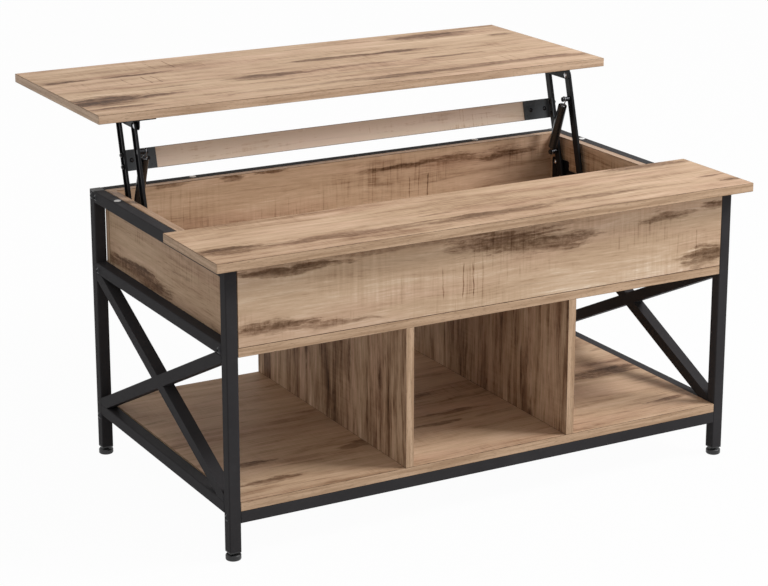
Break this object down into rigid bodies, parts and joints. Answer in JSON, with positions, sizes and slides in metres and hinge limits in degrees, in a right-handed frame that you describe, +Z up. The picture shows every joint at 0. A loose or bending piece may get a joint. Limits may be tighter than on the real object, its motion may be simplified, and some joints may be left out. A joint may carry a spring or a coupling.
{
  "type": "lift-top coffee table",
  "caption": "Coffee table on a black tube frame with a fixed front top, a rear top that lifts back and up on sprung parallel arms, a storage box and an open shelf with dividers.",
  "frame": {"origin": "on the floor, under the middle of the table's bounding box with the rear top lifted", "axes": "+X to the right along the table, +Y from the front to the back, +Z up"},
  "size_m": [1, 0.844, 0.63],
  "materials": {
    "printed_board": "satin greige wood print",
    "frame_coat": "matt black powder coat",
    "mechanism_coat": "satin black",
    "black_fasteners": "black oxide",
    "plated_steel": "bright zinc plate",
    "spring_wire": "oiled spring steel",
    "sleeve_plastic": "matt black",
    "black_plastic": "matt black",
    "clear_pad": "clear soft plastic"
  },
  "bodies": {
    "frame": {"post_front_left": "frame_coat", "post_front_right": "frame_coat", "post_back_left": "frame_coat", "post_back_right": "frame_coat", "side_rail_top_left": "frame_coat", "side_rail_top_right": "frame_coat", "side_rail_mid_left": "frame_coat", "side_rail_mid_right": "frame_coat", "side_rail_low_left": "frame_coat", "side_rail_low_right": "frame_coat", "brace_long_left": "frame_coat", "brace_long_right": "frame_coat", "brace_halves": "frame_coat", "rail_low_front": "frame_coat", "rail_low_back": "frame_coat", "rail_top_back": "frame_coat", "tube_plugs": "black_plastic", "box_floor": "printed_board", "box_front": "printed_board", "box_back": "printed_board", "box_end_left": "printed_board", "box_end_right": "printed_board", "shelf": "printed_board", "divider_left": "printed_board", "divider_right": "printed_board", "fixed_top": "printed_board", "frame_bolts": "black_fasteners", "panel_screws": "plated_steel", "bumpers": "clear_pad", "base_plate_left": "mechanism_coat", "base_plate_right": "mechanism_coat", "base_plate_screws": "plated_steel", "base_pivots": "plated_steel"},
    "rear_arms": {"rear_arm_left": "mechanism_coat", "rear_arm_right": "mechanism_coat", "rear_studs": "black_fasteners", "crossbar": "printed_board", "crossbar_bracket_left": "mechanism_coat", "crossbar_bracket_right": "mechanism_coat", "bracket_bolts": "black_fasteners", "crossbar_screws": "black_fasteners"},
    "front_arm_left": {"front_arm_left": "mechanism_coat", "front_stud_left": "black_fasteners"},
    "front_arm_right": {"front_arm_right": "mechanism_coat", "front_stud_right": "black_fasteners"},
    "lift_top": {"lift_top": "printed_board", "top_bracket_left": "mechanism_coat", "top_bracket_right": "mechanism_coat", "top_bracket_screws": "plated_steel", "top_pivots": "plated_steel"},
    "spring_left": {"spring_left": "spring_wire"},
    "spring_right": {"spring_right": "spring_wire"},
    "spring_sleeve_left": {"spring_sleeve_left": "sleeve_plastic", "spring_tail_left": "spring_wire"},
    "spring_sleeve_right": {"spring_sleeve_right": "sleeve_plastic", "spring_tail_right": "spring_wire"},
    "foot_front_left": {"foot_front_left": "black_plastic"},
    "foot_front_right": {"foot_front_right": "black_plastic"},
    "foot_back_left": {"foot_back_left": "black_plastic"},
    "foot_back_right": {"foot_back_right": "black_plastic"}
  },
  "joints": [
    {"name": "rear_lift", "type": "hinge", "parent": "frame", "child": "rear_arms", "pos_m": [0, 0.05875, 0.40247], "axis": [1, 0, 0], "range_deg": [0, 86.8]},
    {"name": "front_arm_left_lift", "type": "hinge", "parent": "frame", "child": "front_arm_left", "pos_m": [-0.431, -0.00825, 0.40247], "axis": [1, 0, 0], "range_deg": [0, 86.8]},
    {"name": "front_arm_right_lift", "type": "hinge", "parent": "frame", "child": "front_arm_right", "pos_m": [0.431, -0.00825, 0.40247], "axis": [1, 0, 0], "range_deg": [0, 86.8]},
    {"name": "top_level", "type": "hinge", "parent": "rear_arms", "child": "lift_top", "pos_m": [0, 0.112, 0.6025], "axis": [1, 0, 0], "range_deg": [-86.8, 0]},
    {"name": "spring_sleeve_left_swing", "type": "hinge", "parent": "rear_arms", "child": "spring_sleeve_left", "pos_m": [-0.417, 0.07213, 0.45272], "axis": [1, 0, 0], "range_deg": [-27.83, 0]},
    {"name": "spring_sleeve_right_swing", "type": "hinge", "parent": "rear_arms", "child": "spring_sleeve_right", "pos_m": [0.417, 0.07213, 0.45272], "axis": [1, 0, 0], "range_deg": [-27.83, 0]},
    {"name": "spring_left_swing", "type": "hinge", "parent": "front_arm_left", "child": "spring_left", "pos_m": [-0.417, 0.03368, 0.55998], "axis": [1, 0, 0], "range_deg": [-27.83, 0], "deforming": ["spring_left"]},
    {"name": "spring_right_swing", "type": "hinge", "parent": "front_arm_right", "child": "spring_right", "pos_m": [0.417, 0.03368, 0.55998], "axis": [1, 0, 0], "range_deg": [-27.83, 0], "deforming": ["spring_right"]},
    {"name": "foot_front_left_level", "type": "slide", "parent": "frame", "child": "foot_front_left", "axis": [0, 0, -1], "range_m": [0, 0.008]},
    {"name": "foot_front_right_level", "type": "slide", "parent": "frame", "child": "foot_front_right", "axis": [0, 0, -1], "range_m": [0, 0.008]},
    {"name": "foot_back_left_level", "type": "slide", "parent": "frame", "child": "foot_back_left", "axis": [0, 0, -1], "range_m": [0, 0.008]},
    {"name": "foot_back_right_level", "type": "slide", "parent": "frame", "child": "foot_back_right", "axis": [0, 0, -1], "range_m": [0, 0.008]}
  ],
  "couplings": [
    {"joint": "front_arm_left_lift", "follows": "rear_lift", "ratio": 1},
    {"joint": "front_arm_right_lift", "follows": "rear_lift", "ratio": 1},
    {"joint": "top_level", "follows": "rear_lift", "ratio": -1},
    {"joint": "spring_sleeve_left_swing", "follows": "rear_lift", "ratio": -0.32059},
    {"joint": "spring_sleeve_right_swing", "follows": "rear_lift", "ratio": -0.32059},
    {"joint": "spring_left_swing", "follows": "rear_lift", "ratio": -0.32059},
    {"joint": "spring_right_swing", "follows": "rear_lift", "ratio": -0.32059}
  ]
}
